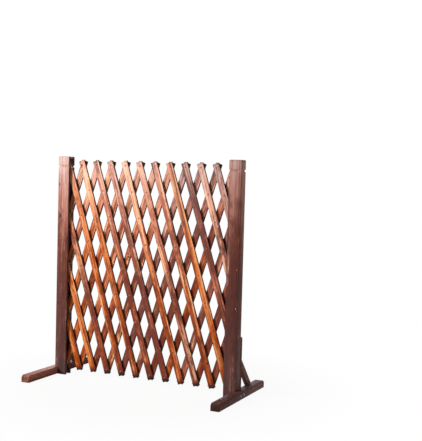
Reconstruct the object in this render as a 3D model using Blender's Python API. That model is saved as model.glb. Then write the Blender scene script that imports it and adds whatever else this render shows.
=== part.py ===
"""Expandable pet fence: two grooved posts on cross feet, joined by a riveted scissor lattice of slats.

X runs along the fence, from the left post to the right one, and Y runs through it, from the front
to the back. The origin is on the floor, midway between the posts. The lattice is drawn half open.
"""

import math
from collections import deque

import bmesh
import bpy
from mathutils import Matrix, Vector

# Lattice: how many slats there are, how far apart they are riveted and how far they lean
RIVET_SPACING = 0.111
PITCH_COUNT = 11
ROW_COUNT = 8
REST_LEAN = math.radians(17.9)
OPEN_LEAN = math.radians(45.0)

# Slats
SLAT_WIDTH = 0.027
SLAT_THICKNESS = 0.008
SLAT_OVERHANG = 0.017
SLAT_EDGE_EASE = 0.0008
LAYER_GAP = 0.0003

# Rivets, and the pins that hang the lattice in the posts
RIVET_SHANK_RADIUS = 0.0015
RIVET_HEAD_RADIUS = 0.0035
RIVET_CROWN_RADIUS = 0.0024
RIVET_HEAD_HEIGHT = 0.0012
RIVET_SIDES = 6
PIN_RADIUS = 0.0020
PIN_END_CHAMFER = 0.0005
PIN_SINK = 0.0010
PIN_COVER = 0.0035
PIN_SIDES = 8
BORE_CLEARANCE = 0.0002

# Posts
CHEEK = 0.0105
WEB = 0.019
POST_RISE = 0.0117
FLOOR_GAP = 0.0226
END_INSET = 0.010
GROOVE_SIDE_CLEARANCE = 0.0004
GROOVE_END_CLEARANCE = 0.0014
POST_EDGE_EASE = 0.0015
CAP_HEIGHT = 0.036
CAP_TOP_EASE = 0.0025
NECK_HEIGHT = 0.011
NECK_DEPTH = 0.0042

# Feet
FOOT_LENGTH = 0.440
FOOT_WIDTH = 0.036
FOOT_HEIGHT = 0.029
FOOT_LET_IN = 0.012
FOOT_END_CHAMFER = 0.008
FOOT_EDGE_EASE = 0.0012

# Upright cleats behind the posts
CLEAT_WIDTH = 0.030
CLEAT_THICKNESS = 0.016
CLEAT_TOP_HEIGHT = 0.235
CLEAT_TOP_CHAMFER = 0.008

# Slanting struts between the cleats and the feet
STRUT_THICKNESS = 0.015
STRUT_WIDTH = 0.025
STRUT_TOP_HEIGHT = 0.143
STRUT_REACH = 0.140
STRUT_NOSE = 0.004

# Countersunk wood screws, and how deep each bites into the second of the pieces that it joins
SCREW_HEAD_RADIUS = 0.0040
SCREW_HEAD_HEIGHT = 0.0024
SCREW_SHANK_RADIUS = 0.00175
SCREW_TIP_HEIGHT = 0.0040
SCREW_SINK = 0.0005
SCREW_SIDES = 8
SCREW_CLEARANCE = 0.0003
FOOT_SCREW_BITE = 0.019
CLEAT_SCREW_BITE = 0.0075
CLEAT_SCREW_SETBACK = 0.036
STRUT_SCREW_GRIP = 0.0125
STRUT_SCREW_BITE = 0.011

# The gap left where pieces rest on each other, and how far a cutter runs past what it cuts
SEAT_GAP = 0.0003
OVERRUN = 0.010
WELD_DISTANCE = 0.000001

# Sizes that follow from those above
PITCH = 2 * RIVET_SPACING * math.sin(REST_LEAN)
ROW_RISE = RIVET_SPACING * math.cos(REST_LEAN)
SPAN = PITCH_COUNT * PITCH - 2 * END_INSET
LAYER_OFFSET = (SLAT_THICKNESS + LAYER_GAP) / 2
HALF_STACK = SLAT_THICKNESS + LAYER_GAP / 2
HALF_LATTICE = (ROW_COUNT / 2 * ROW_RISE + SLAT_OVERHANG * math.cos(REST_LEAN)
                + SLAT_WIDTH / 2 * math.sin(REST_LEAN))
MID_HEIGHT = FLOOR_GAP + HALF_LATTICE
POST_HEIGHT = MID_HEIGHT + HALF_LATTICE + POST_RISE
GROOVE_WIDTH = 2 * (HALF_STACK + SEAT_GAP + RIVET_HEAD_HEIGHT + GROOVE_SIDE_CLEARANCE)
GROOVE_DEPTH = (END_INSET + SLAT_OVERHANG * math.sin(OPEN_LEAN)
                + SLAT_WIDTH / 2 * math.cos(OPEN_LEAN) + GROOVE_END_CLEARANCE)
POST_WIDTH = GROOVE_DEPTH + WEB
POST_DEPTH = GROOVE_WIDTH + 2 * CHEEK
FOOT_INNER = POST_WIDTH - FOOT_LET_IN
FOOT_OUTER = FOOT_INNER + FOOT_WIDTH
FOOT_TOP = FOOT_HEIGHT + SEAT_GAP
CLEAT_SCREW_HEIGHTS = (FOOT_TOP + CLEAT_SCREW_SETBACK, CLEAT_TOP_HEIGHT - CLEAT_SCREW_SETBACK)
CLEAT_FRONT = POST_DEPTH / 2 + SEAT_GAP
CLEAT_BACK = CLEAT_FRONT + CLEAT_THICKNESS
CLEAT_MIDDLE = POST_WIDTH - CLEAT_WIDTH / 2
STRUT_HEEL = CLEAT_BACK + SEAT_GAP
STRUT_MIDDLE = POST_WIDTH - STRUT_THICKNESS / 2
STRUT_SLOPE = math.atan2(STRUT_TOP_HEIGHT - FOOT_TOP, STRUT_REACH - STRUT_HEEL)

# The two layers of slats, and the row where the lattice is pinned to the posts
FRONT = "front"
BACK = "back"
PIN_ROW = 2 * round(ROW_COUNT / 4)

# Directions
TO_RIGHT = Vector((1, 0, 0))
TO_LEFT = Vector((-1, 0, 0))
TO_BACK = Vector((0, 1, 0))
TO_FRONT = Vector((0, -1, 0))
UP = Vector((0, 0, 1))
DOWN = Vector((0, 0, -1))


# Tools for making solids


def finished(form, name):
    """Turn a closed bmesh into a mesh whose faces all point outwards."""
    bmesh.ops.recalc_face_normals(form, faces=form.faces)
    mesh = bpy.data.meshes.new(name)
    form.to_mesh(mesh)
    form.free()
    return mesh


def extruded(outline, way):
    """A prism: a flat outline of corners drawn out along a vector."""
    form = bmesh.new()
    face = form.faces.new([form.verts.new(corner) for corner in outline])
    drawn = bmesh.ops.extrude_face_region(form, geom=[face])
    moved = [part for part in drawn["geom"] if isinstance(part, bmesh.types.BMVert)]
    bmesh.ops.translate(form, verts=moved, vec=way)
    return form


def plan(left, right, front, back, height):
    """The corners of a level rectangle."""
    return [(left, front, height), (right, front, height), (right, back, height), (left, back, height)]


def side_view(outline, middle, width):
    """A board seen from its side: an outline in Y and Z, with its width centred on a place in X."""
    start = middle - width / 2
    return extruded([(start, y, z) for y, z in outline], width * TO_RIGHT)


def ease_edges(form, way, size):
    """Bevel the edges that run along a direction."""
    edges = [edge for edge in form.edges
             if (edge.verts[1].co - edge.verts[0].co).cross(way).length < WELD_DISTANCE]
    bmesh.ops.bevel(form, geom=edges, offset=size, segments=1, affect="EDGES")


def raise_top(form, rise, draw_in):
    """Extrude the highest face upwards, and draw its sides in towards its middle."""
    face = max(form.faces, key=lambda each: each.calc_center_median().z)
    middle = face.calc_center_median()
    drawn = bmesh.ops.extrude_face_region(form, geom=[face])
    bmesh.ops.delete(form, geom=[face], context="FACES_ONLY")
    for vert in (part for part in drawn["geom"] if isinstance(part, bmesh.types.BMVert)):
        vert.co.x -= draw_in * math.copysign(1, vert.co.x - middle.x)
        vert.co.y -= draw_in * math.copysign(1, vert.co.y - middle.y)
        vert.co.z += rise


def turned(profile, sides):
    """A solid of revolution about Z, from a half profile of radii and heights."""
    form = bmesh.new()
    points = [form.verts.new((radius, 0, height)) for radius, height in profile]
    lines = [form.edges.new(ends) for ends in zip(points, points[1:])]
    bmesh.ops.spin(form, geom=points + lines, axis=UP, angle=2 * math.pi, steps=sides, use_merge=True)
    bmesh.ops.remove_doubles(form, verts=form.verts, dist=WELD_DISTANCE)
    mesh = finished(form, "turned")
    mesh.shade_smooth()
    mesh.set_sharp_from_angle(angle=math.radians(40))
    return mesh


def pointing(way, start):
    """The place of a turned piece whose own Z axis starts at a point and runs along a direction."""
    return Matrix.Translation(start) @ UP.rotation_difference(way).to_matrix().to_4x4()


def gathered(pieces, name):
    """One mesh that holds several tools or fasteners, each given as a mesh and its place."""
    form = bmesh.new()
    for mesh, place in pieces:
        mesh.transform(place)
        form.from_mesh(mesh)
        bpy.data.meshes.remove(mesh)
    return finished(form, name)


def combined(mesh, other, operation):
    """A mesh with another one taken out of it, or joined to it, by a Boolean."""
    body = bpy.data.objects.new("body", mesh)
    tool = bpy.data.objects.new("tool", other)
    tool.hide_render = True
    tool.display_type = "WIRE"
    for item in (body, tool):
        bpy.context.scene.collection.objects.link(item)
    step = body.modifiers.new("step", "BOOLEAN")
    step.operation = operation
    step.object = tool
    scene_now = bpy.context.evaluated_depsgraph_get()
    result = bpy.data.meshes.new_from_object(body.evaluated_get(scene_now))
    for item in (body, tool):
        bpy.data.objects.remove(item)
    for used in (mesh, other):
        bpy.data.meshes.remove(used)
    return result


def cut(mesh, cutter):
    """What is left of a mesh once the cutter's volume is taken out of it."""
    return combined(mesh, cutter, "DIFFERENCE")


def joined(mesh, addition):
    """A mesh fused with what is fixed to it."""
    return combined(mesh, addition, "UNION")


def mirrored(mesh):
    """The left-hand version of a right-hand piece."""
    copy = mesh.copy()
    copy.transform(Matrix.Scale(-1, 4, TO_RIGHT))
    copy.flip_normals()
    return copy


# Materials


def material(name, colour, roughness, metallic):
    """A plain material."""
    made = bpy.data.materials.new(name)
    made.use_nodes = True
    shader = made.node_tree.nodes["Principled BSDF"]
    shader.inputs["Base Color"].default_value = (*colour, 1.0)
    shader.inputs["Roughness"].default_value = roughness
    shader.inputs["Metallic"].default_value = metallic
    made.diffuse_color = (*colour, 1.0)
    return made


def slat_wood():
    """Softwood browned by heat to an orange brown."""
    return material("slat_wood", (0.36, 0.13, 0.05), 0.6, 0.0)


def post_wood():
    """The same wood, browned darker."""
    return material("post_wood", (0.13, 0.055, 0.04), 0.6, 0.0)


def rivet_steel():
    """Dull brown steel of the rivets and pins."""
    return material("rivet_steel", (0.20, 0.15, 0.12), 0.45, 1.0)


def screw_steel():
    """Bright zinc-plated steel."""
    return material("screw_steel", (0.62, 0.60, 0.56), 0.35, 1.0)


# Fasteners, each with its own Z axis pointing into the wood


def drill(radius, sides, length):
    """A cutter for a plain hole whose flats lie at the radius given."""
    corner = radius / math.cos(math.pi / sides)
    return turned([(0, 0), (corner, 0), (corner, length), (0, length)], sides)


def rivet():
    """A rivet about the plane between the layers. Its front head sits in the slat that it is fixed to,
    and its shank runs through the slat behind, where the other head keeps it on."""
    front = HALF_STACK + RIVET_HEAD_HEIGHT
    under = HALF_STACK + SEAT_GAP
    back = under + RIVET_HEAD_HEIGHT
    profile = [(0, -front), (RIVET_CROWN_RADIUS, -front), (RIVET_HEAD_RADIUS, -HALF_STACK),
               (RIVET_SHANK_RADIUS, -LAYER_OFFSET), (RIVET_SHANK_RADIUS, under),
               (RIVET_HEAD_RADIUS, under), (RIVET_CROWN_RADIUS, back), (0, back)]
    return turned(profile, RIVET_SIDES)


def pin(length):
    """A plain pin with chamfered ends."""
    end = PIN_RADIUS - PIN_END_CHAMFER
    profile = [(0, 0), (end, 0), (PIN_RADIUS, PIN_END_CHAMFER),
               (PIN_RADIUS, length - PIN_END_CHAMFER), (end, length), (0, length)]
    return turned(profile, PIN_SIDES)


def screw(length):
    """A countersunk screw, sunk a little below the surface that its origin lies on."""
    cone_end = SCREW_SINK + SCREW_HEAD_HEIGHT
    profile = [(0, SCREW_SINK), (SCREW_HEAD_RADIUS, SCREW_SINK), (SCREW_SHANK_RADIUS, cone_end),
               (SCREW_SHANK_RADIUS, length - SCREW_TIP_HEIGHT), (0, length)]
    return turned(profile, SCREW_SIDES)


def screw_drill(length):
    """A cutter for the countersunk hole of a screw."""
    head = SCREW_HEAD_RADIUS + SCREW_CLEARANCE
    shank = SCREW_SHANK_RADIUS + SCREW_CLEARANCE
    cone_end = SCREW_SINK + SCREW_HEAD_HEIGHT
    profile = [(0, -OVERRUN), (head, -OVERRUN), (head, SCREW_SINK), (shank, cone_end),
               (shank, length - SCREW_TIP_HEIGHT), (0, length + SCREW_CLEARANCE)]
    return turned(profile, SCREW_SIDES)


# Where the fasteners of a right-hand post go: each has a start, a direction and a length


def foot_screws():
    """Two screws go through the foot from its outer side, one into each cheek of the post."""
    side = (GROOVE_WIDTH + CHEEK) / 2
    length = FOOT_WIDTH + SEAT_GAP + FOOT_SCREW_BITE
    return [((FOOT_OUTER, y, FOOT_HEIGHT / 2), TO_LEFT, length) for y in (-side, side)]


def cleat_screws():
    """Two screws go through the cleat from behind into the post, above and below the strut."""
    length = CLEAT_THICKNESS + SEAT_GAP + CLEAT_SCREW_BITE
    return [((CLEAT_MIDDLE, CLEAT_BACK, height), TO_FRONT, length) for height in CLEAT_SCREW_HEIGHTS]


def strut_top_screws():
    """One screw goes forwards through the strut's upper end into the cleat."""
    height = STRUT_TOP_HEIGHT - STRUT_WIDTH / math.cos(STRUT_SLOPE) / 2
    start = (STRUT_MIDDLE, STRUT_HEEL + STRUT_SCREW_GRIP, height)
    return [(start, TO_FRONT, STRUT_SCREW_GRIP + SEAT_GAP + STRUT_SCREW_BITE)]


def strut_toe_screws():
    """One screw goes down through the strut's lower end into the foot."""
    depth = STRUT_REACH - STRUT_WIDTH / math.sin(STRUT_SLOPE) / 2
    start = (STRUT_MIDDLE, depth, FOOT_TOP + STRUT_SCREW_GRIP)
    return [(start, DOWN, STRUT_SCREW_GRIP + SEAT_GAP + STRUT_SCREW_BITE)]


def screw_mesh(place):
    """A screw where it is driven in."""
    start, way, length = place
    mesh = screw(length)
    mesh.transform(pointing(way, start))
    return mesh


def drilled(mesh, places):
    """A piece with the holes of its screws."""
    drills = [(screw_drill(length), pointing(way, start)) for start, way, length in places]
    return cut(mesh, gathered(drills, "drills"))


# The pieces of a right-hand post, measured from the bottom of the middle of its inner face


def pin_start():
    """Where the lattice pin's blind hole ends, behind the post's front face."""
    return (END_INSET, -POST_DEPTH / 2 + PIN_COVER, row_height(PIN_ROW))


def post_mesh():
    """A square post with a necked cap, ploughed out for the lattice and notched for its foot."""
    outline = plan(0, POST_WIDTH, -POST_DEPTH / 2, POST_DEPTH / 2, 0)
    form = extruded(outline, (POST_HEIGHT - CAP_HEIGHT - NECK_HEIGHT) * UP)
    ease_edges(form, UP, POST_EDGE_EASE)
    raise_top(form, NECK_HEIGHT / 2, NECK_DEPTH)
    raise_top(form, NECK_HEIGHT / 2, -NECK_DEPTH)
    raise_top(form, CAP_HEIGHT - CAP_TOP_EASE, 0)
    raise_top(form, CAP_TOP_EASE, CAP_TOP_EASE)
    groove_plan = plan(-OVERRUN, GROOVE_DEPTH, -GROOVE_WIDTH / 2, GROOVE_WIDTH / 2, -OVERRUN)
    groove = finished(extruded(groove_plan, (POST_HEIGHT + 2 * OVERRUN) * UP), "groove")
    notch_plan = plan(FOOT_INNER - SEAT_GAP, POST_WIDTH + OVERRUN, -POST_DEPTH, POST_DEPTH, -OVERRUN)
    notch = finished(extruded(notch_plan, (FOOT_TOP + OVERRUN) * UP), "notch")
    post = cut(cut(finished(form, "post"), groove), notch)
    pin_drill = drill(PIN_RADIUS + BORE_CLEARANCE, PIN_SIDES, POST_DEPTH + OVERRUN)
    post = cut(post, gathered([(pin_drill, pointing(TO_BACK, pin_start()))], "pin_drill"))
    return drilled(post, foot_screws() + cleat_screws())


def foot_mesh():
    """A foot with chamfered ends, let into the post's outer side."""
    half = FOOT_LENGTH / 2
    shoulder = FOOT_HEIGHT - FOOT_END_CHAMFER
    outline = [(-half, 0), (half, 0), (half, shoulder), (half - FOOT_END_CHAMFER, FOOT_HEIGHT),
               (-half + FOOT_END_CHAMFER, FOOT_HEIGHT), (-half, shoulder)]
    form = side_view(outline, (FOOT_INNER + FOOT_OUTER) / 2, FOOT_WIDTH)
    ease_edges(form, TO_BACK, FOOT_EDGE_EASE)
    return drilled(finished(form, "foot"), foot_screws() + strut_toe_screws())


def cleat_mesh():
    """An upright cleat that stands on the foot behind the post, with its top back edge cut away."""
    outline = [(CLEAT_FRONT, FOOT_TOP), (CLEAT_BACK, FOOT_TOP),
               (CLEAT_BACK, CLEAT_TOP_HEIGHT - CLEAT_TOP_CHAMFER),
               (CLEAT_BACK - CLEAT_TOP_CHAMFER, CLEAT_TOP_HEIGHT), (CLEAT_FRONT, CLEAT_TOP_HEIGHT)]
    form = side_view(outline, CLEAT_MIDDLE, CLEAT_WIDTH)
    return drilled(finished(form, "cleat"), cleat_screws() + strut_top_screws())


def strut_mesh():
    """A slanting strut, mitred to lie flat on the cleat and on the foot, with a blunt toe."""
    top_bearing = STRUT_WIDTH / math.cos(STRUT_SLOPE)
    toe_bearing = STRUT_WIDTH / math.sin(STRUT_SLOPE)
    toe = STRUT_REACH - STRUT_NOSE / math.tan(STRUT_SLOPE)
    outline = [(STRUT_HEEL, STRUT_TOP_HEIGHT), (STRUT_HEEL, STRUT_TOP_HEIGHT - top_bearing),
               (STRUT_REACH - toe_bearing, FOOT_TOP), (toe, FOOT_TOP), (toe, FOOT_TOP + STRUT_NOSE)]
    form = side_view(outline, STRUT_MIDDLE, STRUT_THICKNESS)
    return drilled(finished(form, "strut"), strut_top_screws() + strut_toe_screws())


def pin_mesh():
    """The pin that hangs the lattice in the post, pushed in from behind to the end of its hole."""
    start = Vector(pin_start()) + SEAT_GAP * TO_BACK
    length = POST_DEPTH - PIN_COVER - SEAT_GAP - PIN_SINK
    return gathered([(pin(length), pointing(TO_BACK, start))], "pin")


# The lattice. A slat is known by its layer and by the column where its line meets the top row.
# Front slats run down to the right, half a column a row, and back slats run down to the left.


def column_place(column):
    """How far right a column of rivets lies at rest."""
    return (column - PITCH_COUNT / 2) * PITCH


def row_height(row):
    """How high a row of rivets lies at rest, counted from the top row down."""
    return MID_HEIGHT + (ROW_COUNT / 2 - row) * ROW_RISE


def column_of(slat, row):
    """The column where a slat passes a row."""
    layer, start = slat
    return start + row / 2 if layer == FRONT else start - row / 2


def rows_of(slat):
    """The rows where a slat is drilled: those between the posts."""
    return [row for row in range(ROW_COUNT + 1) if 0 <= column_of(slat, row) <= PITCH_COUNT]


def slats_of(layer):
    """The slats of a layer from left to right: all those with two or more rows."""
    starts = range(-ROW_COUNT, PITCH_COUNT + ROW_COUNT + 1)
    return [(layer, start) for start in starts if len(rows_of((layer, start))) > 1]


def name_of(slat):
    """A slat's name: its layer, and its number from the left."""
    return f"{slat[0]}_slat_{slats_of(slat[0]).index(slat) + 1:02d}"


def partner_of(slat, row):
    """The slat of the other layer that crosses a slat at a row, if there is one."""
    layer, start = slat
    other = (BACK, start + row) if layer == FRONT else (FRONT, start - row)
    return other if len(rows_of(other)) > 1 and row in rows_of(other) else None


def is_pinned(slat, row):
    """Whether a slat's end is held by a post's pin there, and not by a rivet."""
    return row == PIN_ROW and column_of(slat, row) in (0, PITCH_COUNT)


def linkage():
    """Which slat or post carries each slat, and at which row, outwards from the left post."""
    first = (FRONT, -PIN_ROW // 2)
    carriers = {first: ("left_post", PIN_ROW)}
    waiting = deque([first])
    while waiting:
        slat = waiting.popleft()
        for row in rows_of(slat):
            partner = partner_of(slat, row)
            if partner and partner not in carriers:
                carriers[partner] = (slat, row)
                waiting.append(partner)
    return carriers


def slat_mesh(slat):
    """A slat that hangs down from its top row, with eased edges. A front slat carries its rivets,
    and every other crossing, end or pin has its hole."""
    rows = rows_of(slat)
    bottom = -(len(rows) - 1) * RIVET_SPACING - SLAT_OVERHANG
    half_width, half_thickness = SLAT_WIDTH / 2, SLAT_THICKNESS / 2
    outline = plan(-half_width, half_width, -half_thickness, half_thickness, bottom)
    form = extruded(outline, (SLAT_OVERHANG - bottom) * UP)
    ease_edges(form, UP, SLAT_EDGE_EASE)
    drills, rivets = [], []
    for step, row in enumerate(rows):
        height = -step * RIVET_SPACING
        if slat[0] == FRONT and partner_of(slat, row) and not is_pinned(slat, row):
            rivets.append((rivet(), pointing(TO_BACK, (0, LAYER_OFFSET, height))))
            continue
        radius, sides = RIVET_SHANK_RADIUS, RIVET_SIDES
        if is_pinned(slat, row):
            radius, sides = PIN_RADIUS, PIN_SIDES
        hole = drill(radius + BORE_CLEARANCE, sides, 2 * SLAT_THICKNESS)
        drills.append((hole, pointing(TO_BACK, (0, -SLAT_THICKNESS, height))))
    mesh = finished(form, "slat")
    if drills:
        mesh = cut(mesh, gathered(drills, "drills"))
    if rivets:
        mesh = joined(mesh, gathered(rivets, "rivets"))
    return mesh


# Building the fence: every moving piece hangs on an empty that stands on its own pivot


class Pivot:
    """An empty on a joint's axis, and its place in the world."""

    def __init__(self, name, place, carrier=None):
        self.place = place
        self.empty = bpy.data.objects.new(name, None)
        self.empty.empty_display_size = PITCH / 2
        attach(self.empty, place, carrier)


def attach(item, place, carrier):
    """Link an object into the scene, at a place in the world and under the pivot that carries it."""
    bpy.context.scene.collection.objects.link(item)
    if carrier:
        item.parent = carrier.empty
        place = carrier.place.inverted() @ place
    item.matrix_local = place


def add_piece(name, mesh, finish, place, carrier):
    """Make a mesh into a named piece of the fence."""
    mesh.name = name
    mesh.materials.clear()
    mesh.materials.append(finish)
    attach(bpy.data.objects.new(name, mesh), place, carrier)


def add_post(side, carrier, hand, finishes):
    """Add a post with its foot, cleat, strut, pin and screws, and mirror them on the left."""
    wood, steel, zinc = finishes
    edge = SPAN / 2 if side == "right" else -SPAN / 2
    pieces = [("post", post_mesh(), wood), ("foot", foot_mesh(), wood), ("cleat", cleat_mesh(), wood),
              ("strut", strut_mesh(), wood), ("lattice_pin", pin_mesh(), steel)]
    names = ("foot_front_screw", "foot_back_screw", "cleat_lower_screw", "cleat_upper_screw",
             "strut_upper_screw", "strut_lower_screw")
    places = foot_screws() + cleat_screws() + strut_top_screws() + strut_toe_screws()
    pieces += [(name, screw_mesh(place), zinc) for name, place in zip(names, places)]
    for name, mesh, finish in pieces:
        add_piece(f"{side}_{name}", hand(mesh), finish, Matrix.Translation((edge, 0, 0)), carrier)


def add_slat(slat, row, carrier, wood):
    """Add a slat, and give back the pivot that it turns on."""
    name = name_of(slat)
    lean = -REST_LEAN if slat[0] == FRONT else REST_LEAN
    layer = -LAYER_OFFSET if slat[0] == FRONT else LAYER_OFFSET
    turn = Matrix.Rotation(lean, 4, TO_BACK)
    joint = Matrix.Translation((column_place(column_of(slat, row)), 0, row_height(row))) @ turn
    pivot = Pivot(f"pivot_{name}", joint, carrier)
    top = (row - rows_of(slat)[0]) * RIVET_SPACING
    add_piece(name, slat_mesh(slat), wood, joint @ Matrix.Translation((0, layer, top)), pivot)
    return pivot


def build():
    """Clear the scene and build the fence, outwards from the left post."""
    for item in list(bpy.data.objects):
        bpy.data.objects.remove(item)
    light_wood, dark_wood, steel, zinc = slat_wood(), post_wood(), rivet_steel(), screw_steel()
    left = Pivot("left_post_stand", Matrix.Translation((-SPAN / 2, 0, 0)))
    add_post("left", left, mirrored, (dark_wood, steel, zinc))
    pivots = {"left_post": left}
    for slat, (carrier, row) in linkage().items():
        pivots[slat] = add_slat(slat, row, pivots[carrier], light_wood)
    last = next(slat for slat in slats_of(BACK) if is_pinned(slat, PIN_ROW) and column_of(slat, PIN_ROW))
    pin_place = Matrix.Translation((column_place(PITCH_COUNT), 0, row_height(PIN_ROW)))
    right = Pivot("pivot_right_post", pin_place, pivots[last])
    add_post("right", right, lambda mesh: mesh, (dark_wood, steel, zinc))


build()
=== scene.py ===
import math
import random

import bmesh
import bpy
from mathutils import Matrix, Vector


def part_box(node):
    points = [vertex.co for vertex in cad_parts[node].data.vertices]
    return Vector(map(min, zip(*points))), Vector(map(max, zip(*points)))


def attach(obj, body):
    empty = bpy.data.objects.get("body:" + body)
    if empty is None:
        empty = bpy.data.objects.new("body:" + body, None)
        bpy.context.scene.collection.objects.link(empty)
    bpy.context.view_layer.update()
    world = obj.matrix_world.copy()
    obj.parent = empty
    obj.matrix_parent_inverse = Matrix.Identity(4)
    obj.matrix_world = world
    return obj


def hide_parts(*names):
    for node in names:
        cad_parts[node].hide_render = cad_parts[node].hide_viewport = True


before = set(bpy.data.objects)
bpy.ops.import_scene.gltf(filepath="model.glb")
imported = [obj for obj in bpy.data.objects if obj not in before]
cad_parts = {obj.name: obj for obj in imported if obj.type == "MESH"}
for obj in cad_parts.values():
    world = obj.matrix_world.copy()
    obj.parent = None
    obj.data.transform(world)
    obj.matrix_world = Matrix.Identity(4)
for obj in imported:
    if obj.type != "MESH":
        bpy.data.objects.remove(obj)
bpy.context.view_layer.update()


# The slats.
# Sawn softwood laths, 27 mm wide and 8 mm thick, browned over a flame until the soft grain chars
# and then oiled. They hang in two layers that lean opposite ways, the front layer to the right.

SLAT_WIDTH = 0.027
SLAT_THICKNESS = 0.008
SLAT_EASE = 0.0010
SLAT_LEAN = math.radians(17.9)
LAYER_OFFSET = 0.00415
SLAT_BOW = 0.0006
SLAT_WAVER = 0.0007
SAW_SLANT = 0.05
SLAT_LOOPS = 44
SIDE_LOOPS = 8
ROUNDED_LOOPS = 3
FRONT_NAMES = [f"front_slat_{number:02d}" for number in range(1, 15)]
BACK_NAMES = [f"back_slat_{number:02d}" for number in range(1, 15)]

# Knots are thinly scattered, by cells to the metre across, through and along the wood
KNOT_CELLS = (16.0, 2.0, 6.5)
KNOT_RADIUS = 0.0052
RINGS_PER_METRE = 260.0
ARRIS_CHAR = 0.0020
# How far in from a flank the wood goes dark, partly charred and partly as painted shade
FLANK_CHAR_AND_SHADE = 0.0011
END_CHAR = 0.012


class Value:
    """The output of a node. Arithmetic on it adds Math nodes."""

    def __init__(self, nodes, socket):
        self.nodes = nodes
        self.socket = socket

    def calc(self, operation, *others):
        return self.nodes.add("ShaderNodeMath", self, *others, operation=operation)

    def __add__(self, other):
        return self.calc("ADD", other)

    def __sub__(self, other):
        return self.calc("SUBTRACT", other)

    def __mul__(self, other):
        return self.calc("MULTIPLY", other)

    def __truediv__(self, other):
        return self.calc("DIVIDE", other)

    def __pow__(self, other):
        return self.calc("POWER", other)

    def __rsub__(self, other):
        return self.nodes.add("ShaderNodeMath", other, self, operation="SUBTRACT")

    def __neg__(self):
        return self * -1.0

    __radd__ = __add__
    __rmul__ = __mul__

    def size(self):
        return self.calc("ABSOLUTE")

    def sign(self):
        return self.calc("SIGN")

    def at_least(self, other):
        return self.calc("MAXIMUM", other)

    def at_most(self, other):
        return self.calc("MINIMUM", other)

    def between(self, low, high):
        """0 below low, 1 above high, and a smooth step from one to the other."""
        return self.nodes.add("ShaderNodeMapRange", self, low, high, 0.0, 1.0,
                              interpolation_type="SMOOTHSTEP")


class Nodes:
    """A node tree under construction."""

    def __init__(self, tree):
        self.tree = tree

    def plug(self, socket, value):
        """Link a value, or a list of them, to a socket, or set the socket itself."""
        if isinstance(value, Value):
            self.tree.links.new(value.socket, socket)
        elif isinstance(value, list):
            for each in value:
                self.plug(socket, each)
        elif value is not None:
            socket.default_value = value

    def feed(self, node, inputs):
        """Plug a dict of values into a node's sockets by their names."""
        for name, value in inputs.items():
            self.plug(node.inputs[name], value)

    def add(self, kind, *inputs, output=0, **settings):
        """Add a node with its settings and then its inputs, and give back one of its outputs.
        Inputs are in the order of the sockets shown, or one dict of socket names, and None leaves
        a socket as it is."""
        node = self.tree.nodes.new(kind)
        for name, setting in settings.items():
            setattr(node, name, setting)
        if inputs and isinstance(inputs[0], dict):
            self.feed(node, inputs[0])
        else:
            for socket, value in zip([each for each in node.inputs if each.enabled], inputs):
                self.plug(socket, value)
        outputs = [socket for socket in node.outputs if socket.enabled]
        return Value(self, outputs[output] if isinstance(output, int) else node.outputs[output])

    def vector(self, x, y, z):
        return self.add("ShaderNodeCombineXYZ", x, y, z)

    def parts(self, vector):
        """The X, Y and Z of a vector."""
        first = self.add("ShaderNodeSeparateXYZ", vector)
        return [Value(self, socket) for socket in first.socket.node.outputs]

    def vector_calc(self, operation, *inputs):
        return self.add("ShaderNodeVectorMath", *inputs, operation=operation)

    def painted(self, colour, *coats):
        """A colour with coats over it, each of them a share and a colour."""
        for share, coat in coats:
            colour = self.add("ShaderNodeMix", share, colour, coat, data_type="RGBA")
        return colour


def new_material(name):
    """An empty material, its nodes and its shader."""
    material = bpy.data.materials.new(name)
    material.use_nodes = True
    return material, Nodes(material.node_tree), material.node_tree.nodes["Principled BSDF"]


def form_tree(name, inputs):
    """A geometry tree with named inputs. Gives back its nodes and its input values."""
    tree = bpy.data.node_groups.new(name, "GeometryNodeTree")
    tree.interface.new_socket("Geometry", in_out="INPUT", socket_type="NodeSocketGeometry")
    for label, (kind, value) in inputs.items():
        socket = tree.interface.new_socket(label, in_out="INPUT", socket_type=f"NodeSocket{kind}")
        if value is not None:
            socket.default_value = value
    tree.interface.new_socket("Geometry", in_out="OUTPUT", socket_type="NodeSocketGeometry")
    nodes = Nodes(tree)
    source = tree.nodes.new("NodeGroupInput")
    return nodes, {label: Value(nodes, source.outputs[label]) for label in ["Geometry", *inputs]}


def finish_tree(nodes, geometry, material, smooth=True):
    """End a tree in real geometry that carries its material."""
    geometry = nodes.add("GeometryNodeRealizeInstances", geometry)
    if smooth:
        geometry = nodes.add("GeometryNodeSetShadeSmooth", geometry)
    dressed = nodes.add("GeometryNodeSetMaterial", geometry, None, material)
    nodes.plug(nodes.tree.nodes.new("NodeGroupOutput").inputs[0], dressed)
    return nodes.tree


def grown(name, tree, values, places=(), ways=()):
    """A plain mesh object, grown by a geometry tree from some places, which may face some ways."""
    seed = bpy.data.meshes.new(name)
    seed.from_pydata(places, [], [])
    if ways:
        flat = [number for way in ways for number in way]
        seed.attributes.new("way", "FLOAT_VECTOR", "POINT").data.foreach_set("vector", flat)
    item = bpy.data.objects.new(name, seed)
    bpy.context.scene.collection.objects.link(item)
    grower = item.modifiers.new("grower", "NODES")
    grower.node_group = tree
    sockets = {socket.name: socket.identifier for socket in tree.interface.items_tree
               if socket.in_out == "INPUT"}
    for label, value in values.items():
        grower[sockets[label]] = value
    scene_now = bpy.context.evaluated_depsgraph_get()
    mesh = bpy.data.meshes.new_from_object(item.evaluated_get(scene_now), depsgraph=scene_now)
    item.modifiers.clear()
    item.data = mesh
    mesh.name = name
    bpy.data.meshes.remove(seed)
    return item


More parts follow.
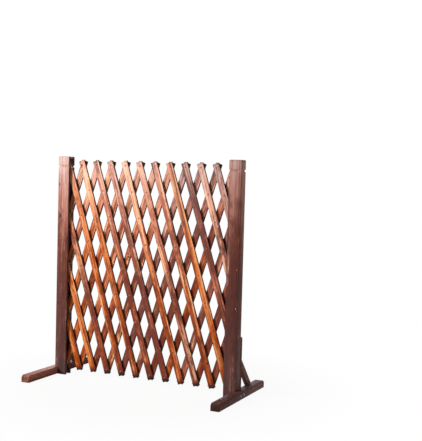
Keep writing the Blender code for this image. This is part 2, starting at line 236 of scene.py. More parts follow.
def paint(red, green, blue):
    """A colour given as it looks on a screen, 0 to 255, for a shader's socket."""
    def linear(level):
        level /= 255
        return level / 12.92 if level <= 0.04045 else ((level + 0.055) / 1.055) ** 2.4
    return (linear(red), linear(green), linear(blue), 1.0)


CHIPPED_WOOD = paint(232, 196, 150)


def browned_wood(name, bright, pale, warm, deep, char, half_width, half_depth, wander, shine,
                 sides_charred_and_shaded, contrast, mottle, glow, groove=(0.0, 0.0)):
    """Flame-browned softwood, in colours from the cleanest wood to char. It reads each piece's own
    attributes: 'grain' is a place in the wood, in metres, with the grain along Z, 'across' is a
    place on the piece from its middle, with the distance to its nearer end as Z, 'tone' says how
    dark the wood has gone, and 'rose' how far its colour leans from gold to a pale rosy brown, both
    with some painted light and shade in them. Wander says how often the grain sways, mottle how
    cloudy the flame has left it, glow how dark the wood may be and still have clean stripes, and
    groove how wide and deep a groove is, whose walls go dark as char and painted shade."""
    material, nodes, shader = new_material(name)
    grain, across = (nodes.add("ShaderNodeAttribute", attribute_name=label, output="Vector")
                     for label in ("grain", "across"))
    tone, rose = (nodes.add("ShaderNodeAttribute", attribute_name=label, output="Fac")
                  for label in ("tone", "rose"))
    x, y, _ = nodes.parts(grain)
    side, through, end = nodes.parts(across)

    def noise(wide, along, detail=2.0, roughness=0.5):
        """Noise with so many cells to the metre across and along the grain."""
        stretched = nodes.vector_calc("MULTIPLY", grain, (wide, wide, along))
        return nodes.add("ShaderNodeTexNoise", stretched, 1.0, detail, roughness)

    # Knots stand where a few cells of a pattern have their middles
    cell = nodes.vector_calc("MULTIPLY", grain, KNOT_CELLS)
    middle = nodes.add("ShaderNodeTexVoronoi", cell, 1.0, output="Position")
    chance = nodes.parts(nodes.add("ShaderNodeTexVoronoi", cell, 1.0, output="Color"))[0]
    off_x, _, off_z = nodes.parts(nodes.vector_calc("SUBTRACT", cell, middle))
    knot_x, knot_z = off_x / KNOT_CELLS[0], off_z / KNOT_CELLS[2]
    knot_reach = (knot_x * knot_x + knot_z * knot_z * 0.6) ** 0.5
    knot_size = chance.between(0.55, 1.0) * KNOT_RADIUS + 0.00001
    knot_share = knot_reach / knot_size
    knot = 1.0 - knot_share.between(0.65, 1.05)
    knot_rim = knot_share.between(0.9, 1.2) * (1.0 - knot_share.between(1.2, 2.0))
    knot_pull = (-knot_reach / (knot_size * 2.6 + 0.001)).calc("EXPONENT") * knot_size * 350.0

    # Growth rings, seen where the saw cut them, and bent round the knots
    sway = noise(5.0, wander, 3.0, 0.55)
    ripple = noise(60.0, 9.0)
    ring_x = x + (sway - 0.5) * 0.060
    ring_y = y + 0.030
    radius = (ring_x * ring_x + ring_y * ring_y) ** 0.5
    rings = radius * RINGS_PER_METRE + knot_pull * 2.2 + (ripple - 0.5) * 0.9
    late = rings.calc("PINGPONG", 1.0).between(0.45, 0.98)

    # Fibres, broad bands of hard and soft grain, and the cloudy scorching of the flame
    fibre = noise(900.0, 11.0, 3.0, 0.6)
    thread = noise(330.0, 4.0)
    band = noise(105.0, 2.2, 3.0, 0.6)
    board = noise(38.0, 1.5)
    cloud = noise(22.0, 5.0, 4.0, 0.62)
    blotch = noise(60.0, 26.0, 3.0, 0.6)
    scorch = ((cloud - 0.5) * 2.0 + (blotch - 0.5) * 1.2) * mottle + tone * 0.75 + 0.50
    hard = (band - 0.5) * 2.6 + (board - 0.5) * 2.2 + late * 0.45
    hard = hard + (thread - 0.5) * 1.3 + (fibre - 0.5) * 0.8
    hard = hard * (contrast - scorch.between(0.3, 1.0) * 0.5) + 0.05
    clean = (0.10 - hard).between(0.0, 0.75) * (1.0 - scorch.between(0.45, glow))
    lines = (fibre + thread * 0.6 + (band - 0.5) * 0.5).between(0.84, 1.10)
    body = nodes.painted(
        pale, ((0.05 - scorch).between(0.0, 0.6) * 0.6, bright),
        (scorch.between(0.05, 0.55), warm), (scorch.between(0.40, 1.0) * 0.85, deep),
        (clean * 0.85, bright), (hard.between(0.10, 1.05) * 0.85, deep), (lines * 0.7, char))
    body = nodes.add("ShaderNodeHueSaturation", {
        "Hue": 0.497 - rose * 0.004, "Saturation": 1.07 - rose.at_least(-0.2) * 0.26,
        "Color": body})

    # Charred arrises, and flanks and groove walls both charred and darkened as painted shade
    ragged = (blotch - 0.5) * 0.0024
    edge = (side.size() + ragged).between(half_width - ARRIS_CHAR, half_width - 0.0002)
    rim = (through.size() + ragged).between(half_depth - ARRIS_CHAR, half_depth - 0.0002)
    # The flanks go dark, partly charred and partly as painted shade
    charred_and_shaded_flank = side.size().between(half_width - FLANK_CHAR_AND_SHADE, half_width - 0.0004)
    body = nodes.painted(body, (edge * rim * 0.6, char), (charred_and_shaded_flank * sides_charred_and_shaded, char))
    if groove[0]:
        mouth, depth = groove[0] / 2, groove[1]
        # The groove's walls and the post's inner side are darkened as painted shade, besides
        # charring
        shaded_groove_walls = (-side - (half_width - depth)).between(-0.0002, 0.0001)
        shaded_groove_walls = shaded_groove_walls * (1.0 - through.size().between(mouth + 0.0001, mouth + 0.0003))
        inner = (-side).between(half_width - FLANK_CHAR_AND_SHADE, half_width - 0.0004)
        share = shaded_groove_walls.at_least(inner) * (0.72 - scorch.between(-0.2, 0.8) * 0.30)
        body = nodes.painted(body, (share, char))

    # Charred ends and knots, and small chips down to clean wood
    cut_end = 1.0 - (end + (blotch - 0.5) * 0.010).between(0.0, END_CHAR)
    chip = noise(150.0, 42.0, 1.0, 0.4).between(0.785, 0.81) * (1.0 - knot)
    # Past a tone of 1 the wood goes to char, at the laths' feet and as the back heads' painted
    # shade
    body = nodes.painted(
        body, (cut_end * (tone * 0.3 + 0.45), char), ((tone - 1.0).between(0.0, 0.8) * 0.85, char),
        (knot * 0.86, char), (knot_rim * 0.4 * chance.between(0.55, 0.6), deep),
        (chip * 0.8, CHIPPED_WOOD))

    sheen = noise(130.0, 30.0)
    rough = shine + (sheen - 0.5) * 0.25 + late * 0.08 + cut_end * 0.2
    rough = rough - hard.between(0.0, 1.0) * 0.05
    height = late * 0.35 + fibre * 0.35 - lines * 0.45 + thread * 0.25 - chip * 0.6 - knot * 0.3
    bump = nodes.add("ShaderNodeBump", {"Strength": 0.55, "Distance": 0.00045, "Height": height})
    nodes.feed(shader, {"Base Color": body, "Roughness": rough, "Normal": bump,
                        "Specular IOR Level": 0.15})
    return material


slat_wood = browned_wood(
    "browned_lath", paint(255, 204, 158), paint(214, 138, 96), paint(174, 92, 58),
    paint(92, 40, 27), paint(28, 10, 7), SLAT_WIDTH / 2, SLAT_THICKNESS / 2, wander=1.6,
    shine=0.52, sides_charred_and_shaded=0.92, contrast=1.0, mottle=1.25, glow=1.3)

# How far each lath has gone towards char at its foot and at its head, from -1 to 1, from left to
# right in each layer
FRONT_TONES = (
    (-0.4, -0.4), (-0.5, -0.5), (0.4, 0.35), (0.3, -0.6), (0.15, -0.5), (0.35, 0.45), (0.4, 0.4),
    (-0.3, -0.3), (0.3, -0.3), (-0.1, 0.05), (-0.3, -0.65), (0.35, 0.6), (0.1, 0.25), (0.5, 0.7))
BACK_TONES = (
    (-0.4, -0.3), (-0.4, -0.1), (-0.3, -0.2), (-0.2, 0.1), (-0.1, -0.1), (0.1, -0.1), (0.2, 0.2),
    (0.4, 0.7), (0.4, 0.6), (0.3, 0.6), (-0.1, 0.3), (0.3, 0.4), (0.4, 0.5), (0.4, 0.4))


def lath_tree():
    """A lath is a box with rounded arrises. Its own Z runs up it from its middle."""
    nodes, given = form_tree("lath", {
        "Length": ("Float", 0.9), "Width": ("Float", SLAT_WIDTH),
        "Thickness": ("Float", SLAT_THICKNESS), "Ease": ("Float", SLAT_EASE),
        "Bow": ("Float", SLAT_BOW), "Saw Slant": ("Float", SAW_SLANT), "Seed": ("Int", 0),
        "Place": ("Vector", None), "Lean": ("Float", 0.0), "Foot Tone": ("Float", 0.0),
        "Head Tone": ("Float", 0.0), "Fade": ("Float", 0.9), "Painted Head Shade": ("Float", 0.0)})
    ease = given["Ease"]

    def drawn(low, high, number):
        """A random number of a lath's own."""
        which = nodes.add("FunctionNodeInputInt", integer=number)
        return nodes.add("FunctionNodeRandomValue", low, high, which, given["Seed"])

    def spread(place, count, half):
        """Moves evenly spaced loops, from -1 to 1, so that the last of them share the rounding."""
        flat_share = 1 - 2 * ROUNDED_LOOPS / (count - 1)
        reach = place.size()
        inner = reach.at_most(flat_share) * ((half - ease * 1.5) / flat_share)
        outer = (reach - flat_share).at_least(0.0) * (ease * 1.5 / (1 - flat_share))
        return place.sign() * (inner + outer)

    # The box, with each point near an arris drawn in to a round one
    block = nodes.add("GeometryNodeMeshCube", (2.0, 2.0, 2.0), SIDE_LOOPS, SIDE_LOOPS, SLAT_LOOPS)
    counts = (SIDE_LOOPS, SIDE_LOOPS, SLAT_LOOPS)
    halves = [given[size] * 0.5 for size in ("Width", "Thickness", "Length")]
    axes = nodes.parts(nodes.add("GeometryNodeInputPosition"))
    places = [spread(axis, count, half) for axis, count, half in zip(axes, counts, halves)]
    core = nodes.vector(*[axis.sign() * axis.size().at_most(half - ease)
                          for axis, half in zip(places, halves)])
    outwards = nodes.vector_calc(
        "NORMALIZE", nodes.vector_calc("SUBTRACT", nodes.vector(*places), core))
    rounding = nodes.add("ShaderNodeVectorMath", {"Vector": outwards, "Scale": ease},
                         operation="SCALE")
    stored = nodes.add("GeometryNodeSetPosition", block, None,
                       nodes.vector_calc("ADD", core, rounding))

    # Its own place in a tree, and its tones, with painted light and shade, darker at its foot
    x, y, z = nodes.parts(nodes.add("GeometryNodeInputPosition"))
    half_length = halves[2]
    along = z / half_length
    pith = nodes.vector(drawn(-0.03, 0.03, 4), drawn(0.0, 0.02, 5), 0.0)
    cut = nodes.vector(x + z * drawn(-0.05, 0.05, 6), y, z + drawn(-40.0, 40.0, 3))
    grain = nodes.vector_calc("ADD", cut, pith)
    across = nodes.vector(x, y, half_length - z.size())
    height = z * math.cos(SLAT_LEAN) + nodes.parts(given["Place"])[2]
    # The fence is painted paler and rosier towards the top, as painted light from above
    painted_top_light = height ** 4.0
    # The back laths' heads are darkened as painted shade, where the front laths' heads shade them
    head = (z - half_length).between(-0.030, -0.012) * given["Painted Head Shade"]
    foot = (-z - half_length).between(-0.026, -0.006) * 1.6
    own_tone = given["Head Tone"] - given["Foot Tone"]
    own_tone = given["Foot Tone"] + own_tone * (along * 0.5 + 0.5)
    tone = own_tone * (1.0 - painted_top_light * 0.4) + drawn(-0.1, 0.1, 7)
    tone = tone + (0.20 - height * height * height * 1.3) * given["Fade"] + head + foot
    rose = own_tone * 0.7 + drawn(-0.3, 0.3, 11) + painted_top_light * 1.9
    for label, value, kind in (("grain", grain, "FLOAT_VECTOR"), ("across", across, "FLOAT_VECTOR"),
                               ("tone", tone, "FLOAT"), ("rose", rose, "FLOAT")):
        stored = nodes.add("GeometryNodeStoreNamedAttribute", {
            "Geometry": stored, "Name": label, "Value": value}, data_type=kind, domain="POINT")

    # A slight bow, a wavering saw cut and slanting ends
    waver = nodes.add("ShaderNodeTexNoise",
                      nodes.vector_calc("MULTIPLY", grain, (6.0, 6.0, 14.0)), 1.0, 2.0)
    bowed = (1.0 - along * along) * given["Bow"] * drawn(-1.0, 1.0, 8)
    slant = x * (along.size() ** 40.0) * given["Saw Slant"] * drawn(-1.0, 1.0, 9)
    shift = nodes.vector(bowed + (waver - 0.5) * SLAT_WAVER, 0.0, slant)
    bent = nodes.add("GeometryNodeSetPosition", {"Geometry": stored, "Offset": shift})
    turn = nodes.vector(0.0, given["Lean"], 0.0)
    hung = nodes.add("GeometryNodeTransform", {
        "Geometry": bent, "Translation": given["Place"], "Rotation": turn})
    return finish_tree(nodes, hung, slat_wood)


def slat_line(name):
    """A slat's length and its middle."""
    low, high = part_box(name)
    length = ((high - low).z - SLAT_WIDTH * math.sin(SLAT_LEAN)) / math.cos(SLAT_LEAN)
    return length, (low + high) / 2


lath = lath_tree()
for number, (name, (foot_tone, head_tone)) in enumerate(
        zip(FRONT_NAMES + BACK_NAMES, FRONT_TONES + BACK_TONES)):
    front = name in FRONT_NAMES
    length, middle = slat_line(name)
    slat = grown(f"{name}_lath", lath, {
        "Length": length, "Seed": number, "Lean": -SLAT_LEAN if front else SLAT_LEAN,
        "Place": (middle.x, -LAYER_OFFSET if front else LAYER_OFFSET, middle.z),
        "Foot Tone": foot_tone, "Head Tone": head_tone, "Painted Head Shade": 0.0 if front else 1.6})
    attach(slat, name)
    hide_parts(name)


# The rivets.
# A brown steel rivet with low domed heads goes through every crossing. It is fixed in the front
# slat, and the slat behind turns on it. The pins in the posts are of the same steel.

RIVET_SPACING = 0.111
SLAT_OVERHANG = 0.017
TOP_ROW = 0.887942
ROW_SPACING = 0.105633
HEAD_RADIUS = 0.0035
HEAD_HEIGHT = 0.0012
SHANK_RADIUS = 0.0015
RIVET_SIDES = 12
FACE = SLAT_THICKNESS + 0.00015
TAIL_GAP = 0.0003
DOME = [(math.cos(math.radians(angle)), math.sin(math.radians(angle)))
        for angle in (0, 28, 56, 90)]
MERGE_DISTANCE = 0.000002


def brown_metal(name, bright, dull, roughness):
    """Steel with a thin dull film, wiped brighter in patches."""
    material, nodes, shader = new_material(name)
    place = nodes.add("ShaderNodeTexCoord", output="Object")
    film = nodes.add("ShaderNodeTexNoise", place, 420.0, 3.0, 0.6)
    specks = nodes.add("ShaderNodeTexNoise", place, 1600.0, 2.0, 0.6)
    worn = (film + (specks - 0.5) * 0.6).between(0.40, 0.66)
    rough = roughness + (specks - 0.5) * 0.3 - worn * 0.08
    bump = nodes.add("ShaderNodeBump", {
        "Strength": 0.3, "Distance": 0.0001, "Height": specks + film})
    nodes.feed(shader, {"Base Color": nodes.painted(dull, (worn, bright)), "Roughness": rough,
                        "Normal": bump, "Metallic": 1.0})
    return material


def lathe(nodes, profile, sides):
    """A turned solid about Z from radii and heights that are values or numbers."""
    rings = []
    for (low_radius, low), (high_radius, high) in zip(profile, profile[1:]):
        ring = nodes.add("GeometryNodeMeshCone", {
            "Vertices": sides, "Radius Bottom": low_radius, "Radius Top": high_radius,
            "Depth": high - low}, fill_type="NONE")
        rings.append(nodes.add("GeometryNodeTransform", {
            "Geometry": ring, "Translation": nodes.vector(0.0, 0.0, low)}))
    joined = nodes.add("GeometryNodeJoinGeometry", rings[::-1])
    return nodes.add("GeometryNodeMergeByDistance", {
        "Geometry": joined, "Distance": MERGE_DISTANCE})


def rivet_tree():
    """A rivet at each point given, through both slats."""
    nodes, given = form_tree("rivets", {
        "Head Radius": ("Float", HEAD_RADIUS), "Head Height": ("Float", HEAD_HEIGHT),
        "Shank Radius": ("Float", SHANK_RADIUS)})
    head, rise, shank = given["Head Radius"], given["Head Height"], given["Shank Radius"]
    tail = FACE + TAIL_GAP
    front_dome = [(head * share, rise * -up - FACE) for share, up in DOME[::-1]]
    back_dome = [(head * share, rise * up + tail) for share, up in DOME]
    turned = lathe(nodes, front_dome + [(shank, -FACE), (shank, tail)] + back_dome, RIVET_SIDES)
    upright = nodes.add("GeometryNodeTransform", {
        "Geometry": turned, "Rotation": (math.radians(-90), 0.0, 0.0)})
    placed = nodes.add("GeometryNodeInstanceOnPoints", {
        "Points": given["Geometry"], "Instance": upright})
    return finish_tree(nodes, placed, rivet_steel)


rivet_steel = brown_metal("rivet_steel", paint(150, 96, 70), paint(104, 64, 46), 0.5)
rivet = rivet_tree()
half_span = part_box("right_post")[0].x
for name in FRONT_NAMES:
    length, middle = slat_line(name)
    places = []
    for step in range(round((length - 2 * SLAT_OVERHANG) / RIVET_SPACING) + 1):
        reach = length / 2 - SLAT_OVERHANG - step * RIVET_SPACING
        x = middle.x - reach * math.sin(SLAT_LEAN)
        z = middle.z + reach * math.cos(SLAT_LEAN)
        # Inside the posts, every fourth row is free or has the lattice pin
        row = round((TOP_ROW - z) / ROW_SPACING)
        if abs(x) < half_span or row % 4:
            places.append((x, 0.0, z))
    rivets = grown(f"{name}_rivets", rivet, {}, places)
    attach(rivets, name)

for side in ("left", "right"):
    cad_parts[f"{side}_lattice_pin"].data.materials.clear()
    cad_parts[f"{side}_lattice_pin"].data.materials.append(rivet_steel)


# The posts.
# Each is a square length of the same wood, browned darker, with a groove ploughed down its inner
# side for the slats' ends, a V cut round it under the cap, and a notch at its heel for the foot.

POST_WIDTH = 0.052
POST_DEPTH = 0.041
POST_EASE = 0.00096
GROOVE_WIDTH = 0.0201
GROOVE_DEPTH = 0.03297
NECK_DEPTH = 0.0042
NECK_HEIGHT = 0.011
CAP_HEIGHT = 0.036
CAP_EASE = 0.0025
SEAT = 0.0003
PIN_HOLE_RADIUS = 0.0022
PIN_HOLE_DEPTH = 0.045
POST_LOOPS = 30
BORE_START = 0.010
BORE_SIDES = 24
FORWARDS = Vector((0, -1, 0))
# The posts are painted paler towards their tops as painted light, the left post the most
POST_TONES_WITH_PAINTED_LIGHT = {"right": (0.34, -0.92, 0.0, 1.5), "left": (0.28, -1.55, 0.05, 1.5)}
random.seed(8)

post_wood = browned_wood(
    "browned_post", paint(216, 168, 150), paint(170, 109, 88), paint(102, 51, 35),
    paint(60, 33, 29), paint(22, 9, 8), POST_WIDTH / 2, POST_DEPTH / 2, wander=0.8, shine=0.56,
    sides_charred_and_shaded=0.0, contrast=0.8, mottle=0.5, glow=0.75, groove=(GROOVE_WIDTH, GROOVE_DEPTH))


def lofted(rings):
    """A closed solid through rings of corners, with its first and last ring filled."""
    form = bmesh.new()
    loops = [[form.verts.new(corner) for corner in ring] for ring in rings]
    for lower, upper in zip(loops, loops[1:]):
        for here in range(len(lower)):
            there = (here + 1) % len(lower)
            form.faces.new((lower[here], lower[there], upper[there], upper[here]))
    form.faces.new(loops[0][::-1])
    form.faces.new(loops[-1])
    bmesh.ops.remove_doubles(form, verts=form.verts, dist=0.00001)
    bmesh.ops.recalc_face_normals(form, faces=form.faces)
    mesh = bpy.data.meshes.new("lofted")
    form.to_mesh(mesh)
    form.free()
    return mesh


def bore(start, way, steps):
    """A cutter: a turned shape of radii and depths that runs from a start along a direction."""
    turns = [2 * math.pi * side / BORE_SIDES for side in range(BORE_SIDES)]
    mesh = lofted([[(radius * math.cos(turn), radius * math.sin(turn), depth) for turn in turns]
                   for radius, depth in steps])
    turn = Vector((0, 0, 1)).rotation_difference(way).to_matrix().to_4x4()
    mesh.transform(Matrix.Translation(start) @ turn)
    return mesh


def worked(name, mesh, ease, cutters):
    """A piece with its arrises rounded and then its holes cut."""
    item = bpy.data.objects.new(name, mesh)
    bpy.context.scene.collection.objects.link(item)
    plane = item.modifiers.new("ease", "BEVEL")
    plane.width, plane.segments = ease, 3
    plane.limit_method, plane.angle_limit = "ANGLE", math.radians(25)
    tools = []
    for cutter in cutters:
        tool = bpy.data.objects.new("cutter", cutter)
        bpy.context.scene.collection.objects.link(tool)
        step = item.modifiers.new("hole", "BOOLEAN")
        step.object, step.operation, step.solver = tool, "DIFFERENCE", "EXACT"
        tools.append(tool)
    scene_now = bpy.context.evaluated_depsgraph_get()
    result = bpy.data.meshes.new_from_object(item.evaluated_get(scene_now), depsgraph=scene_now)
    item.modifiers.clear()
    item.data = result
    for tool in tools:
        bpy.data.objects.remove(tool)
    return item


def show_wood(item, along, middle, half_length, wood, tones, tilt):
    """Write a piece's grain into its mesh, and give it its wood. The grain runs along the Y or Z
    axis given, or leans in YZ by the tilt. The tones are its lower end's, its upper end's, what
    its belly has more than they give it, and how rosy both ends are. Across counts outwards."""
    mesh = item.data
    start = Vector([random.uniform(-40, 40) for _ in range(3)])
    start.x, start.y = random.uniform(-0.03, 0.03), random.uniform(0.0, 0.03)
    turn = Matrix.Rotation(-tilt, 3, "X")
    low_tone, high_tone, belly_tone, end_rose = tones
    grain, across, tone, rose = [], [], [], []
    for vert in mesh.vertices:
        place = turn @ (vert.co - middle)
        if along == "Y":
            place = Vector((place.x, place.z, place.y))
        grain.extend(place + start)
        across.extend((math.copysign(1, middle.x) * place.x, place.y, half_length - abs(place.z)))
        height = min(max(place.z / half_length / 2 + 0.5, 0), 1)
        belly = 4 * height * (1 - height)
        tone.append(low_tone + (high_tone - low_tone) * height ** 3 + belly_tone * belly)
        rose.append(((1 - height) ** 4 + height ** 4) * end_rose)
    for label, kind, field, numbers in (
            ("grain", "FLOAT_VECTOR", "vector", grain),
            ("across", "FLOAT_VECTOR", "vector", across),
            ("tone", "FLOAT", "value", tone), ("rose", "FLOAT", "value", rose)):
        mesh.attributes.new(label, kind, "POINT").data.foreach_set(field, numbers)
    mesh.materials.clear()
    mesh.materials.append(wood)
    mesh.shade_smooth()
    mesh.set_sharp_from_angle(angle=math.radians(32))


def mirrored(mesh):
    """A mesh made for the right-hand post, turned over for the left one."""
    mesh.transform(Matrix.Scale(-1, 4, (1, 0, 0)))
    mesh.flip_normals()
    return mesh


def put_up(side, node, word, mesh, ease, holes, wood, tones, half_length, along="Z", tilt=0.0):
    """Finish a piece made for the right-hand post, or its mirror image, and fix it to its post."""
    low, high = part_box(f"right_{node}")
    middle = (low + high) / 2
    if side == "left":
        mesh, holes = mirrored(mesh), [mirrored(hole) for hole in holes]
        middle.x *= -1
    item = worked(f"{side}_{node}_{word}", mesh, ease, holes)
    show_wood(item, along, middle, half_length, wood, tones[side], tilt)
    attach(item, f"{side}_post")
    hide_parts(f"{side}_{node}")


def post_ring(low, high, height, inset, outer):
    """The post's plan at a height, with its sides drawn in and its outer side at a place in X."""
    inner, front, back = low.x + inset, low.y + inset, high.y - inset
    mouth, floor = GROOVE_WIDTH / 2, low.x + GROOVE_DEPTH
    corners = [(inner, front), (outer, front), (outer, back), (inner, back),
               (inner, mouth), (floor, mouth), (floor, -mouth), (inner, -mouth)]
    return [(x, y, height) for x, y in corners]


low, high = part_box("right_post")
foot_low, foot_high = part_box("right_foot")
pin_low, pin_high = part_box("right_lattice_pin")
pin = (pin_low + pin_high) / 2
neck_top = high.z - CAP_HEIGHT
neck_low = neck_top - NECK_HEIGHT
heel, notch = foot_low.x - SEAT, foot_high.z + SEAT
shaft = [(notch + (neck_low - notch) * loop / POST_LOOPS, 0, high.x)
         for loop in range(POST_LOOPS + 1)]
levels = [(low.z, 0, heel), (notch, 0, heel), *shaft,
          (neck_top - NECK_HEIGHT / 2, NECK_DEPTH, high.x - NECK_DEPTH), (neck_top, 0, high.x),
          (high.z - CAP_EASE, 0, high.x), (high.z, CAP_EASE, high.x - CAP_EASE)]
for side in ("right", "left"):
    mesh = lofted([post_ring(low, high, *level) for level in levels])
    hole = bore(Vector((pin.x, high.y + BORE_START, pin.z)), FORWARDS,
                [(PIN_HOLE_RADIUS, 0), (PIN_HOLE_RADIUS, PIN_HOLE_DEPTH)])
    put_up(side, "post", "timber", mesh, POST_EASE, [hole], post_wood, POST_TONES_WITH_PAINTED_LIGHT, high.z / 2)


# The feet.
# A foot is a flat-laid bar across the bottom of each post, let into its heel and screwed to it
# from outside, with both ends chamfered on top.

FOOT_WIDTH = 0.036
FOOT_HEIGHT = 0.029
FOOT_CHAMFER = 0.008
FOOT_EASE = 0.0012
FOOT_TONES = {"right": (0.5, 0.5, 0.0, 0.5), "left": (-0.5, -0.65, 0.0, 0.1)}
INWARDS = Vector((-1, 0, 0))
DOWNWARDS = Vector((0, 0, -1))
SCREWS = {"foot_front": INWARDS, "foot_back": INWARDS, "cleat_lower": FORWARDS,
          "cleat_upper": FORWARDS, "strut_upper": FORWARDS, "strut_lower": DOWNWARDS}
MOUTH_RADIUS = 0.0043
MOUTH_START = -0.012
MOUTH_DEPTH = 0.0006
HOLE_RADIUS = 0.0020
CONE_DEPTH = 0.0030
HOLE_DEPTH = 0.034

foot_wood = browned_wood(
    "browned_foot", paint(196, 146, 128), paint(158, 104, 88), paint(108, 64, 54),
    paint(66, 38, 35), paint(24, 11, 9), FOOT_WIDTH / 2, FOOT_HEIGHT / 2, wander=0.9, shine=0.56,
    sides_charred_and_shaded=0.0, contrast=0.75, mottle=0.7, glow=1.0)


def screw_start(name):
    """Where the head of a screw in the right-hand post lies."""
    low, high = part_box(f"right_{name}_screw")
    way = SCREWS[name]
    return (low + high) / 2 - way * (abs((high - low).dot(way)) / 2)


def screw_holes(piece, depth):
    """Cutters for the countersunk holes of the screws that go through a piece from its face."""
    steps = [(MOUTH_RADIUS, MOUTH_START), (MOUTH_RADIUS, MOUTH_DEPTH), (HOLE_RADIUS, CONE_DEPTH),
             (HOLE_RADIUS, depth)]
    return [bore(screw_start(name), way, steps) for name, way in SCREWS.items()
            if name.startswith(piece)]


def side_on(profile, low, high):
    """A solid with an outline in YZ, as wide as its node."""
    return lofted([[(x, y, z) for y, z in profile] for x in (low.x, high.x)])


low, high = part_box("right_foot")
profile = [(low.y, low.z), (high.y, low.z), (high.y, high.z - FOOT_CHAMFER),
           (high.y - FOOT_CHAMFER, high.z), (low.y + FOOT_CHAMFER, high.z),
           (low.y, high.z - FOOT_CHAMFER)]
for side in ("right", "left"):
    put_up(side, "foot", "bar", side_on(profile, low, high), FOOT_EASE,
           screw_holes("foot", HOLE_DEPTH), foot_wood, FOOT_TONES, high.y, along="Y")


# The cleats.
# A short upright board behind each post stiffens its joint with the foot. It stands on the foot,
# is screwed forwards into the post, and has its top back edge planed away.

CLEAT_CHAMFER = 0.008
BRACE_EASE = 0.0009
BRACE_TONES = {"right": (0.0, 0.0, 0.0, 0.9), "left": (0.2, 0.2, 0.0, 0.9)}

low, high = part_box("right_cleat")
profile = [(low.y, low.z), (high.y, low.z), (high.y, high.z - CLEAT_CHAMFER),
           (high.y - CLEAT_CHAMFER, high.z), (low.y, high.z)]
for side in ("right", "left"):
    put_up(side, "cleat", "board", side_on(profile, low, high), BRACE_EASE,
           screw_holes("cleat", HOLE_DEPTH), foot_wood, BRACE_TONES, (high.z - low.z) / 2)


# The struts.
# A slanting strut, mitred at both ends, runs from the cleat down to the foot behind. One screw
# holds each end.

STRUT_WIDTH = 0.025
STRUT_NOSE = 0.004
STRUT_HOLE_DEPTH = 0.030

low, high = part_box("right_strut")
fall, run = high.z - low.z, high.y - low.y
slope = math.atan2(fall, run)
profile = [(low.y, high.z), (low.y, high.z - STRUT_WIDTH / math.cos(slope)),
           (high.y - STRUT_WIDTH / math.sin(slope), low.z),
           (high.y - STRUT_NOSE / math.tan(slope), low.z), (high.y, low.z + STRUT_NOSE)]
for side in ("right", "left"):
    put_up(side, "strut", "bar", side_on(profile, low, high), BRACE_EASE,
           screw_holes("strut", STRUT_HOLE_DEPTH), foot_wood, BRACE_TONES,
           math.hypot(fall, run) / 2, tilt=math.pi / 2 - slope)


# The screws.
# Countersunk wood screws of zinc-plated steel with a cross recess, sunk a little below the wood.

SCREW_HEAD = 0.0040
SCREW_RIM = 0.0002
SCREW_CONE = 0.0024
SCREW_SHANK = 0.00175
SHANK_LENGTH = 0.012
SCREW_TIP = 0.004
SCREW_SIDES = 24
RECESS_WIDTH = 0.0011
RECESS_REACH = 0.0046
RECESS_DEPTH = 0.0018


def screw_tree():
    """A screw at each point given, driven along the point's way."""
    nodes, given = form_tree("screws", {
        "Head Radius": ("Float", SCREW_HEAD), "Cone Height": ("Float", SCREW_CONE),
        "Shank Radius": ("Float", SCREW_SHANK), "Recess Width": ("Float", RECESS_WIDTH),
        "Recess Reach": ("Float", RECESS_REACH), "Recess Depth": ("Float", RECESS_DEPTH)})
    head, cone, shank = given["Head Radius"], given["Cone Height"], given["Shank Radius"]
    width, reach = given["Recess Width"], given["Recess Reach"]
    depth = given["Recess Depth"] * 2.0
    shank_end = cone + SHANK_LENGTH
    recessed = lathe(nodes, [(0.0, 0.0), (head, 0.0), (head, SCREW_RIM), (shank, cone),
                             (shank, shank_end), (0.0, shank_end + SCREW_TIP)], SCREW_SIDES)
    for size in ((width, reach, depth), (reach, width, depth)):
        bar = nodes.add("GeometryNodeMeshCube", nodes.vector(*size))
        recessed = nodes.add("GeometryNodeMeshBoolean", {"Mesh 1": recessed, "Mesh 2": bar},
                             operation="DIFFERENCE", solver="EXACT")
    way = nodes.add("GeometryNodeInputNamedAttribute", "way", data_type="FLOAT_VECTOR",
                    output="Attribute")
    turn = nodes.add("FunctionNodeAlignRotationToVector", {"Vector": way}, axis="Z")
    placed = nodes.add("GeometryNodeInstanceOnPoints", {
        "Points": given["Geometry"], "Instance": recessed, "Rotation": turn})
    return finish_tree(nodes, placed, screw_steel, smooth=False)


screw_steel = brown_metal("screw_steel", paint(206, 202, 192), paint(150, 140, 122), 0.32)
screw = screw_tree()
for side, hand in (("right", 1), ("left", -1)):
    flip = Vector((hand, 1, 1))
    places = [screw_start(name) * flip for name in SCREWS]
    ways = [way * flip for way in SCREWS.values()]
    screws = grown(f"{side}_screws", screw, {}, places, ways)
    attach(screws, f"{side}_post")
    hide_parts(*[f"{side}_{name}_screw" for name in SCREWS])


# The floor, the light and the camera.
# A plain floor that runs out into a white background, a soft lamp at the upper left of the camera,
# a weaker one low from the right, and one behind that shows the back.

FLOOR_CORNERS = [(-9, -6, 0), (9, -6, 0), (9, 12, 0), (-9, 12, 0)]
FLOOR_COLOUR = (0.50, 0.48, 0.46, 1.0)
SHADOW_SHARE = 0.06
WHITE = (1, 1, 1, 1)
SOFT_LIGHT = (1.0, 0.66, 0.48, 1)
SOFT_STRENGTH = 0.055


def looked_at(nodes):
    """1 where a background is seen, mirrored or seen through glass, and 0 where it only lights."""
    camera_ray, glossy_ray, clear_ray = (
        nodes.add("ShaderNodeLightPath", output=f"Is {kind} Ray")
        for kind in ("Camera", "Glossy", "Transmission"))
    return camera_ray.at_least(glossy_ray).at_least(clear_ray)


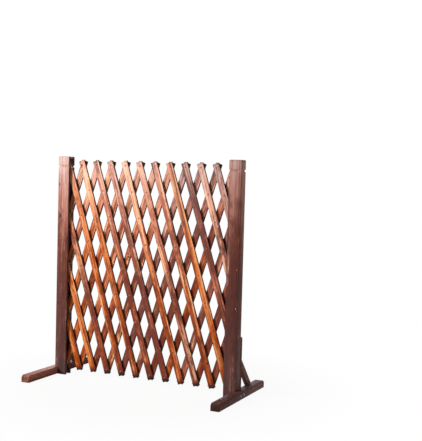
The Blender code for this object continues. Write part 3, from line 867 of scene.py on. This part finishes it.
def made_floor():
    """The floor, which shows white and keeps a little of the object's shadow."""
    mesh = bpy.data.meshes.new("floor")
    mesh.from_pydata(FLOOR_CORNERS, [], [(0, 1, 2, 3)])
    floor = bpy.data.objects.new("floor", mesh)
    bpy.context.scene.collection.objects.link(floor)
    material, nodes, shader = new_material("white_floor")
    nodes.feed(shader, {"Base Color": FLOOR_COLOUR, "Roughness": 0.9})
    x, y, _ = nodes.parts(nodes.add("ShaderNodeTexCoord", output="Object"))
    away = (x * x + y * y) ** 0.5
    share = (away.between(0.35, 1.0) * SHADOW_SHARE + (1 - SHADOW_SHARE)) * looked_at(nodes)
    white = nodes.add("ShaderNodeEmission", {"Color": WHITE, "Strength": 1.0})
    surface = nodes.add("ShaderNodeMixShader", share, Value(nodes, shader.outputs[0]), white)
    nodes.plug(material.node_tree.nodes["Material Output"].inputs["Surface"], surface)
    mesh.materials.append(material)
    return floor


def lamp(name, place, aim, size, power, colour=(1, 1, 1)):
    """A round lamp that faces a point."""
    light = bpy.data.lights.new(name, "AREA")
    light.shape, light.size, light.energy, light.color = "DISK", size, power, colour
    item = bpy.data.objects.new(name, light)
    turn = (Vector(aim) - Vector(place)).to_track_quat("-Z", "Y").to_matrix().to_4x4()
    item.matrix_world = Matrix.Translation(place) @ turn
    bpy.context.scene.collection.objects.link(item)


made_floor()
lamp("key", (-2.5, -2.4, 1.75), (0.0, 0.0, 0.60), 0.6, 182)
lamp("fill", (2.9, -1.2, 0.9), (0.0, 0.0, 0.4), 1.2, 22, (1.0, 0.82, 0.70))
lamp("back", (-2.0, 3.2, 0.7), (0.0, 0.0, 0.45), 1.4, 60)

world = bpy.data.worlds.new("studio")
bpy.context.scene.world = world
world.use_nodes = True
nodes = Nodes(world.node_tree)
soft = nodes.add("ShaderNodeBackground", SOFT_LIGHT, SOFT_STRENGTH)
backdrop = nodes.add("ShaderNodeBackground", WHITE, 1.0)
sky = nodes.add("ShaderNodeMixShader", looked_at(nodes), soft, backdrop)
nodes.plug(world.node_tree.nodes["World Output"].inputs["Surface"], sky)

# The camera stands to the right, turned 25 degrees to the left and 3 down, and leans a little. Its
# focal length is in the picture's pixels.
TURN, TILT, ROLL = 0.4367, -0.0532, 0.0274
DISTANCE = 3.4142
AIM = Vector((0.2851, 0.0, 0.6826))
FOCUS = 877.36
PICTURE_HEIGHT = 441
SENSOR = 36
forward = Vector((-math.sin(TURN) * math.cos(TILT), math.cos(TURN) * math.cos(TILT),
                  math.sin(TILT)))
level = Vector((math.cos(TURN), math.sin(TURN), 0))
upward = level.cross(forward)
right = math.cos(ROLL) * level + math.sin(ROLL) * upward
above = -math.sin(ROLL) * level + math.cos(ROLL) * upward
camera = bpy.data.objects.new("camera", bpy.data.cameras.new("camera"))
bpy.context.scene.collection.objects.link(camera)
camera.data.sensor_width = SENSOR
camera.data.lens = FOCUS / PICTURE_HEIGHT * SENSOR
turned = Matrix((right, above, -forward)).transposed().to_4x4()
camera.matrix_world = Matrix.Translation(AIM - forward * DISTANCE) @ turned
bpy.context.scene.camera = camera
bpy.context.scene.view_settings.view_transform = "Standard"
